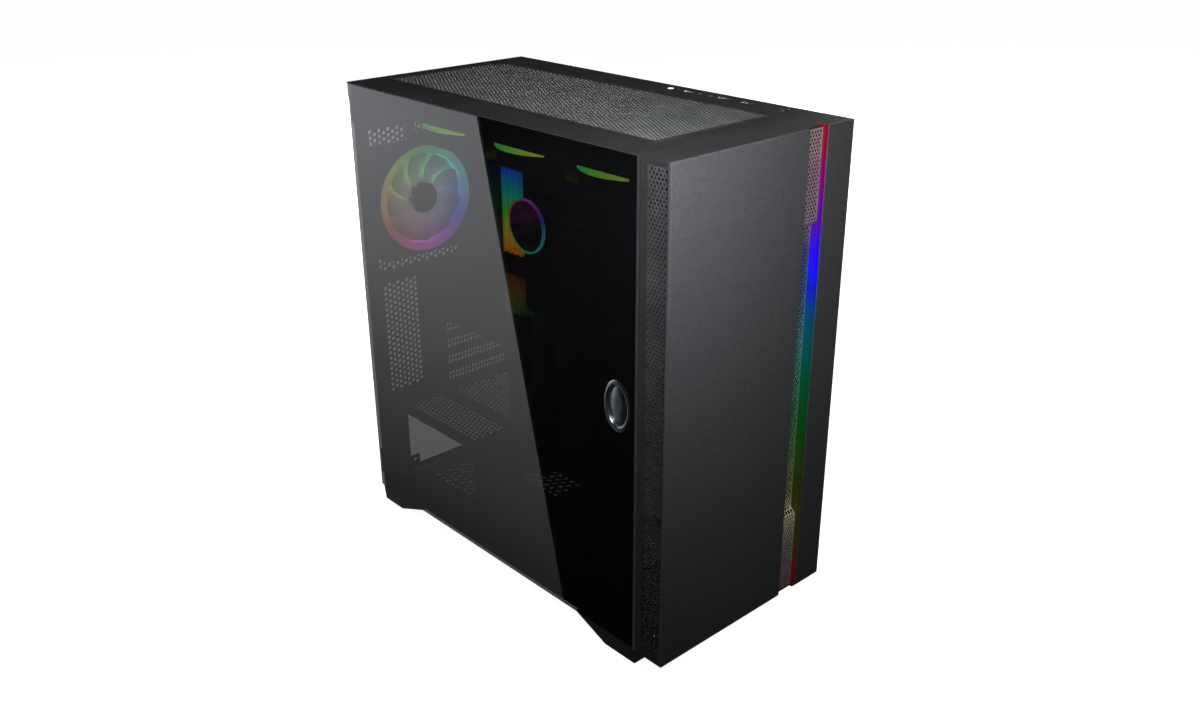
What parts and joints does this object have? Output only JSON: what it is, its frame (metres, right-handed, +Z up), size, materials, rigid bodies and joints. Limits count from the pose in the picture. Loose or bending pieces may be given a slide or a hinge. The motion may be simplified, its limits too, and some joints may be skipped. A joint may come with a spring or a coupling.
{
  "type": "desktop computer tower",
  "caption": "Tower computer case with a hinged glass side door, lit front channel, fans, liquid cooler, motherboard and graphics card on a holder.",
  "frame": {"origin": "centre of the footprint at floor level, under the middle of the case", "axes": "+Z up; front panel faces -Y; glass door on the -X side"},
  "size_m": [0.226, 0.463, 0.481],
  "materials": {
    "case_steel": "satin powder coat",
    "front_plate": "fine speckled dark grey",
    "black_plastic": "fine texture",
    "trim": "satin",
    "mesh": "perforated sheet",
    "light_strip": "diffusing",
    "light_ring": "diffusing",
    "glass": "tinted, polished",
    "pull_metal": "satin",
    "rubber": "matt",
    "rotor_clear": "frosted",
    "rotor_black": "satin",
    "radiator": "black painted",
    "hose": "smooth",
    "pump": "gloss",
    "board": "solder mask",
    "heatsink": "anodised dark grey",
    "card_shell": "satin",
    "card_plate": "polished black",
    "bare_steel": "plated",
    "screw": "black zinc",
    "ports": "plated shells",
    "indicator": "clear"
  },
  "bodies": {
    "case": {"chassis_floor": "case_steel", "rear_wall": "case_steel", "motherboard_tray": "case_steel", "front_wall": "case_steel", "roof_frame": "case_steel", "top_panel": "case_steel", "front_trim": "trim", "psu_shroud": "case_steel", "slot_covers": "case_steel", "cable_cover": "case_steel", "feet": "black_plastic", "foot_pads": "rubber", "hinge_brackets": "case_steel", "fan_frames": "black_plastic", "rear_fan_light_ring": "light_ring", "top_fan_light_rings": "light_ring", "screws": "screw", "radiator": "radiator", "coolant_tubes": "hose", "pump_body": "pump", "pump_light_ring": "light_ring", "motherboard": "board", "board_sockets": "black_plastic", "memory_modules": "heatsink", "board_heatsinks": "heatsink", "rear_ports": "ports", "card_board": "board", "card_backplate": "card_plate", "card_shroud": "card_shell", "card_heatsink": "heatsink", "card_bracket": "bare_steel", "card_holder_post": "black_plastic", "port_board": "board", "top_ports": "ports", "status_light": "indicator"},
    "glass_door": {"glass_panel": "glass", "door_pull": "pull_metal", "door_hinge_leaves": "case_steel"},
    "right_panel": {"right_side_panel": "case_steel", "thumbscrews": "screw"},
    "front_panel": {"front_panel_frame": "black_plastic", "main_front_plate": "front_plate", "right_front_plate": "front_plate", "channel_mesh": "mesh", "light_bar": "light_strip", "side_meshes": "mesh"},
    "top_dust_filter": {"top_filter": "mesh"},
    "bottom_dust_filter": {"bottom_filter": "mesh"},
    "holder_finger": {"card_holder_finger": "black_plastic"},
    "rear_fan_rotor": {"rear_fan_rotor": "rotor_clear"},
    "top_fan_rotor_1": {"top_fan_rotor_1": "rotor_black"},
    "top_fan_rotor_2": {"top_fan_rotor_2": "rotor_black"},
    "top_fan_rotor_3": {"top_fan_rotor_3": "rotor_black"},
    "front_fan_rotor_1": {"front_fan_rotor_1": "rotor_black"},
    "front_fan_rotor_2": {"front_fan_rotor_2": "rotor_black"},
    "front_fan_rotor_3": {"front_fan_rotor_3": "rotor_black"},
    "card_fan_rotor_1": {"card_fan_rotor_1": "rotor_black"},
    "card_fan_rotor_2": {"card_fan_rotor_2": "rotor_black"},
    "power_button": {"power_button": "black_plastic"},
    "reset_button": {"reset_button": "black_plastic"}
  },
  "joints": [
    {"name": "door_hinge", "type": "hinge", "parent": "case", "child": "glass_door", "pos_m": [-0.1055, 0.2265, 0.249], "axis": [0, 0, -1], "range_deg": [0, 110]},
    {"name": "rear_fan_rotor_spin", "type": "hinge", "parent": "case", "child": "rear_fan_rotor", "pos_m": [-0.044, 0.2085, 0.352], "axis": [0, 1, 0], "continuous": true},
    {"name": "top_fan_rotor_1_spin", "type": "hinge", "parent": "case", "child": "top_fan_rotor_1", "pos_m": [0, 0.1535, 0.43], "axis": [0, 0, 1], "continuous": true},
    {"name": "top_fan_rotor_2_spin", "type": "hinge", "parent": "case", "child": "top_fan_rotor_2", "pos_m": [0, 0.0335, 0.43], "axis": [0, 0, 1], "continuous": true},
    {"name": "top_fan_rotor_3_spin", "type": "hinge", "parent": "case", "child": "top_fan_rotor_3", "pos_m": [0, -0.0865, 0.43], "axis": [0, 0, 1], "continuous": true},
    {"name": "front_fan_rotor_1_spin", "type": "hinge", "parent": "case", "child": "front_fan_rotor_1", "pos_m": [-0.009, -0.1805, 0.098], "axis": [0, 1, 0], "continuous": true},
    {"name": "front_fan_rotor_2_spin", "type": "hinge", "parent": "case", "child": "front_fan_rotor_2", "pos_m": [-0.009, -0.1805, 0.221], "axis": [0, 1, 0], "continuous": true},
    {"name": "front_fan_rotor_3_spin", "type": "hinge", "parent": "case", "child": "front_fan_rotor_3", "pos_m": [-0.009, -0.1805, 0.344], "axis": [0, 1, 0], "continuous": true},
    {"name": "card_fan_rotor_1_spin", "type": "hinge", "parent": "case", "child": "card_fan_rotor_1", "pos_m": [0.013, 0.0325, 0.225], "axis": [0, 0, 1], "continuous": true},
    {"name": "card_fan_rotor_2_spin", "type": "hinge", "parent": "case", "child": "card_fan_rotor_2", "pos_m": [0.013, 0.1405, 0.225], "axis": [0, 0, 1], "continuous": true},
    {"name": "power_button_press", "type": "slide", "parent": "case", "child": "power_button", "axis": [0, 0, -1], "range_m": [0, 0.0012], "stiffness_N_per_m": 500, "springref_m": -0.002},
    {"name": "reset_button_press", "type": "slide", "parent": "case", "child": "reset_button", "axis": [0, 0, -1], "range_m": [0, 0.0012], "stiffness_N_per_m": 500, "springref_m": -0.002},
    {"name": "front_panel_pull", "type": "slide", "parent": "case", "child": "front_panel", "axis": [0, -1, 0], "range_m": [0, 0.04]},
    {"name": "top_filter_lift", "type": "slide", "parent": "case", "child": "top_dust_filter", "axis": [0, 0, 1], "range_m": [0, 0.03]},
    {"name": "bottom_filter_slide", "type": "slide", "parent": "case", "child": "bottom_dust_filter", "axis": [0, 1, 0], "range_m": [0, 0.165]},
    {"name": "right_panel_slide", "type": "slide", "parent": "case", "child": "right_panel", "axis": [0, 1, 0], "range_m": [0, 0.02]},
    {"name": "holder_finger_slide", "type": "slide", "parent": "case", "child": "holder_finger", "axis": [0, 0, -1], "range_m": [0, 0.054]}
  ]
}
